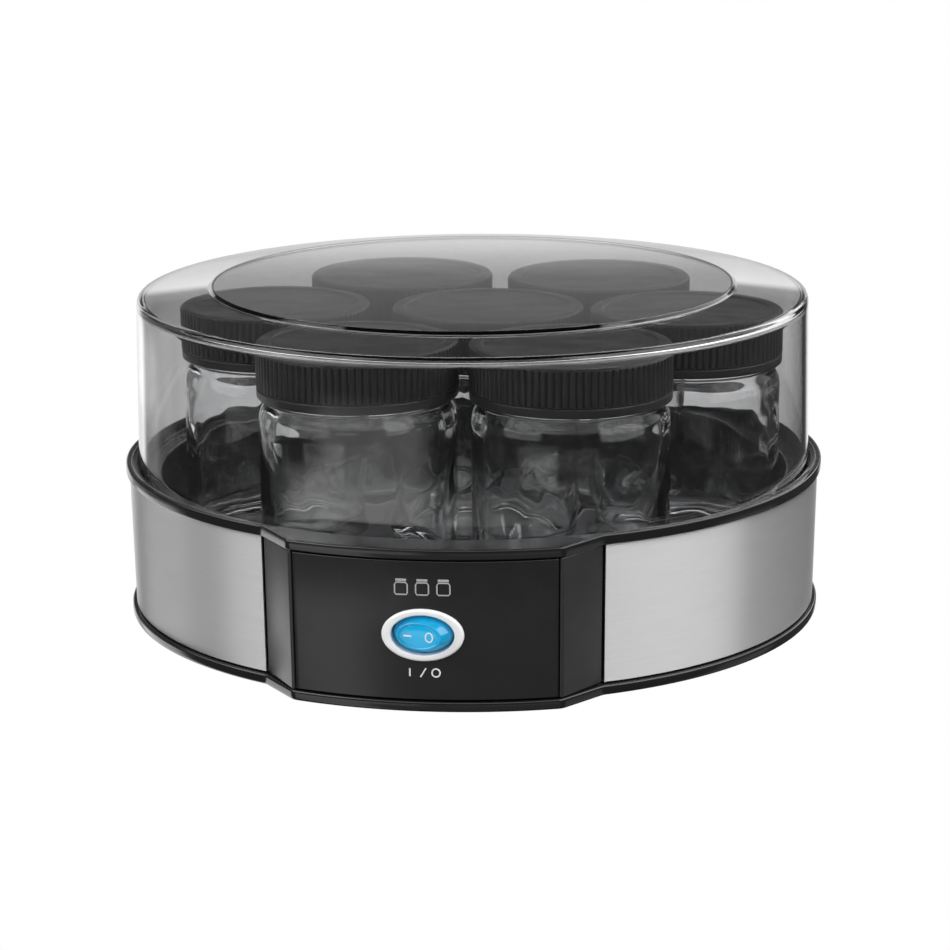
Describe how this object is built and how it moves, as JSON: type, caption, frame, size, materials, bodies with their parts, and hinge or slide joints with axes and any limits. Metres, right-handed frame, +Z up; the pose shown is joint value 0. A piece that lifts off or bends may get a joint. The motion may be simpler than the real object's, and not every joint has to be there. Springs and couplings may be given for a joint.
{
  "type": "yogurt maker",
  "caption": "Round electric yogurt maker: heated base with steel sides and a front rocker switch, clear dome lid, and screw-cap glass jars that lift out of the well.",
  "frame": {"origin": "on the table, under the middle of the outer box; the round body's axis is 5.0 mm behind it because the panel and switch stand out at the front", "axes": "+Z up; the control panel faces -Y, so +Y runs to the cord entry at the rear and +X is the viewer's right"},
  "size_m": [0.2408, 0.256, 0.115],
  "materials": {
    "gloss_black": "glossy moulded",
    "satin_black": "satin moulded",
    "fascia_black": "satin, smooth",
    "steel": "brushed round the body",
    "zinc": "zinc plated",
    "dark_plate": "dark non-stick coat",
    "mica": "mica sheet",
    "rubber": "matt",
    "smoke_clear": "clear, smoke tinted",
    "jar_glass": "clear",
    "cap_black": "satin, finely ribbed",
    "seal_white": "soft polyethylene",
    "switch_white": "glossy",
    "switch_blue": "translucent, lit",
    "brass": "stamped",
    "wire_red": "silicone sleeve",
    "ceramic": "unglazed"
  },
  "bodies": {
    "base": {"upper_housing": "gloss_black", "base_plate": "gloss_black", "steel_panel_left": "steel", "steel_panel_right": "steel", "rear_panel": "satin_black", "cord_gland": "rubber", "control_housing": "satin_black", "control_fascia": "fascia_black", "switch_bezel": "switch_white", "switch_body": "satin_black", "switch_blade_line": "brass", "switch_blade_load": "brass", "indicator_lamp": "jar_glass", "heating_plate": "dark_plate", "heater_element": "mica", "heat_shield": "zinc", "shield_nut": "zinc", "thermostat": "zinc", "thermal_fuse": "ceramic", "terminal_block": "ceramic", "wire_block_switch": "wire_red", "wire_switch_thermostat": "wire_red", "wire_thermostat_fuse": "wire_red", "wire_fuse_heater": "wire_red", "wire_heater_block": "wire_red", "foot_front_left": "rubber", "foot_front_right": "rubber", "foot_rear_left": "rubber", "foot_rear_right": "rubber", "base_screw_front_left": "zinc", "base_screw_front_right": "zinc", "base_screw_rear_left": "zinc", "base_screw_rear_right": "zinc"},
    "lid": {"dome_lid": "smoke_clear"},
    "rocker": {"switch_rocker": "switch_blue"},
    "jar_1": {"jar_1": "jar_glass"},
    "seal_1": {"jar_seal_1": "seal_white"},
    "cap_1": {"jar_cap_1": "cap_black"},
    "jar_2": {"jar_2": "jar_glass"},
    "seal_2": {"jar_seal_2": "seal_white"},
    "cap_2": {"jar_cap_2": "cap_black"},
    "jar_3": {"jar_3": "jar_glass"},
    "seal_3": {"jar_seal_3": "seal_white"},
    "cap_3": {"jar_cap_3": "cap_black"},
    "jar_4": {"jar_4": "jar_glass"},
    "seal_4": {"jar_seal_4": "seal_white"},
    "cap_4": {"jar_cap_4": "cap_black"},
    "jar_5": {"jar_5": "jar_glass"},
    "seal_5": {"jar_seal_5": "seal_white"},
    "cap_5": {"jar_cap_5": "cap_black"},
    "jar_6": {"jar_6": "jar_glass"},
    "seal_6": {"jar_seal_6": "seal_white"},
    "cap_6": {"jar_cap_6": "cap_black"},
    "jar_7": {"jar_7": "jar_glass"},
    "seal_7": {"jar_seal_7": "seal_white"},
    "cap_7": {"jar_cap_7": "cap_black"}
  },
  "joints": [
    {"name": "lid_lift", "type": "slide", "parent": "base", "child": "lid", "axis": [0, 0, 1], "range_m": [0, 0.3]},
    {"name": "rocker_press", "type": "hinge", "parent": "base", "child": "rocker", "pos_m": [0, -0.12177, 0.0275], "axis": [0, 0, 1], "range_deg": [0, 22]},
    {"name": "jar_1_lift", "type": "slide", "parent": "base", "child": "jar_1", "axis": [0, 0, 1], "range_m": [0, 0.075]},
    {"name": "cap_1_lift", "type": "slide", "parent": "jar_1", "child": "seal_1", "axis": [0, 0, 1], "range_m": [0, 0.045]},
    {"name": "cap_1_turn", "type": "hinge", "parent": "seal_1", "child": "cap_1", "pos_m": [0.0052, 0.00623, 0.1], "axis": [0, 0, 1], "range_deg": [0, 90]},
    {"name": "jar_2_lift", "type": "slide", "parent": "base", "child": "jar_2", "axis": [0, 0, 1], "range_m": [0, 0.075]},
    {"name": "cap_2_lift", "type": "slide", "parent": "jar_2", "child": "seal_2", "axis": [0, 0, 1], "range_m": [0, 0.045]},
    {"name": "cap_2_turn", "type": "hinge", "parent": "seal_2", "child": "cap_2", "pos_m": [0.03932, -0.05486, 0.1], "axis": [0, 0, 1], "range_deg": [0, 90]},
    {"name": "jar_3_lift", "type": "slide", "parent": "base", "child": "jar_3", "axis": [0, 0, 1], "range_m": [0, 0.075]},
    {"name": "cap_3_lift", "type": "slide", "parent": "jar_3", "child": "seal_3", "axis": [0, 0, 1], "range_m": [0, 0.045]},
    {"name": "cap_3_turn", "type": "hinge", "parent": "seal_3", "child": "cap_3", "pos_m": [0.07348, 0.00696, 0.1], "axis": [0, 0, 1], "range_deg": [0, 90]},
    {"name": "jar_4_lift", "type": "slide", "parent": "base", "child": "jar_4", "axis": [0, 0, 1], "range_m": [0, 0.075]},
    {"name": "cap_4_lift", "type": "slide", "parent": "jar_4", "child": "seal_4", "axis": [0, 0, 1], "range_m": [0, 0.045]},
    {"name": "cap_4_turn", "type": "hinge", "parent": "seal_4", "child": "cap_4", "pos_m": [0.03846, 0.06725, 0.1], "axis": [0, 0, 1], "range_deg": [0, 90]},
    {"name": "jar_5_lift", "type": "slide", "parent": "base", "child": "jar_5", "axis": [0, 0, 1], "range_m": [0, 0.075]},
    {"name": "cap_5_lift", "type": "slide", "parent": "jar_5", "child": "seal_5", "axis": [0, 0, 1], "range_m": [0, 0.045]},
    {"name": "cap_5_turn", "type": "hinge", "parent": "seal_5", "child": "cap_5", "pos_m": [-0.03342, 0.06561, 0.1], "axis": [0, 0, 1], "range_deg": [0, 90]},
    {"name": "jar_6_lift", "type": "slide", "parent": "base", "child": "jar_6", "axis": [0, 0, 1], "range_m": [0, 0.075]},
    {"name": "cap_6_lift", "type": "slide", "parent": "jar_6", "child": "seal_6", "axis": [0, 0, 1], "range_m": [0, 0.045]},
    {"name": "cap_6_turn", "type": "hinge", "parent": "seal_6", "child": "cap_6", "pos_m": [-0.06878, 0.00369, 0.1], "axis": [0, 0, 1], "range_deg": [0, 90]},
    {"name": "jar_7_lift", "type": "slide", "parent": "base", "child": "jar_7", "axis": [0, 0, 1], "range_m": [0, 0.075]},
    {"name": "cap_7_lift", "type": "slide", "parent": "jar_7", "child": "seal_7", "axis": [0, 0, 1], "range_m": [0, 0.045]},
    {"name": "cap_7_turn", "type": "hinge", "parent": "seal_7", "child": "cap_7", "pos_m": [-0.03016, -0.0563, 0.1], "axis": [0, 0, 1], "range_deg": [0, 90]}
  ],
  "couplings": [
    {"joint": "jar_1_lift", "follows": "lid_lift", "ratio": 0.25},
    {"joint": "cap_1_lift", "follows": "lid_lift", "ratio": 0.15},
    {"joint": "cap_1_turn", "follows": "lid_lift", "rad_per_m": 5.2},
    {"joint": "jar_2_lift", "follows": "lid_lift", "ratio": 0.25},
    {"joint": "cap_2_lift", "follows": "lid_lift", "ratio": 0.15},
    {"joint": "cap_2_turn", "follows": "lid_lift", "rad_per_m": 5.2},
    {"joint": "jar_3_lift", "follows": "lid_lift", "ratio": 0.25},
    {"joint": "cap_3_lift", "follows": "lid_lift", "ratio": 0.15},
    {"joint": "cap_3_turn", "follows": "lid_lift", "rad_per_m": 5.2},
    {"joint": "jar_4_lift", "follows": "lid_lift", "ratio": 0.25},
    {"joint": "cap_4_lift", "follows": "lid_lift", "ratio": 0.15},
    {"joint": "cap_4_turn", "follows": "lid_lift", "rad_per_m": 5.2},
    {"joint": "jar_5_lift", "follows": "lid_lift", "ratio": 0.25},
    {"joint": "cap_5_lift", "follows": "lid_lift", "ratio": 0.15},
    {"joint": "cap_5_turn", "follows": "lid_lift", "rad_per_m": 5.2},
    {"joint": "jar_6_lift", "follows": "lid_lift", "ratio": 0.25},
    {"joint": "cap_6_lift", "follows": "lid_lift", "ratio": 0.15},
    {"joint": "cap_6_turn", "follows": "lid_lift", "rad_per_m": 5.2},
    {"joint": "jar_7_lift", "follows": "lid_lift", "ratio": 0.25},
    {"joint": "cap_7_lift", "follows": "lid_lift", "ratio": 0.15},
    {"joint": "cap_7_turn", "follows": "lid_lift", "rad_per_m": 5.2}
  ]
}
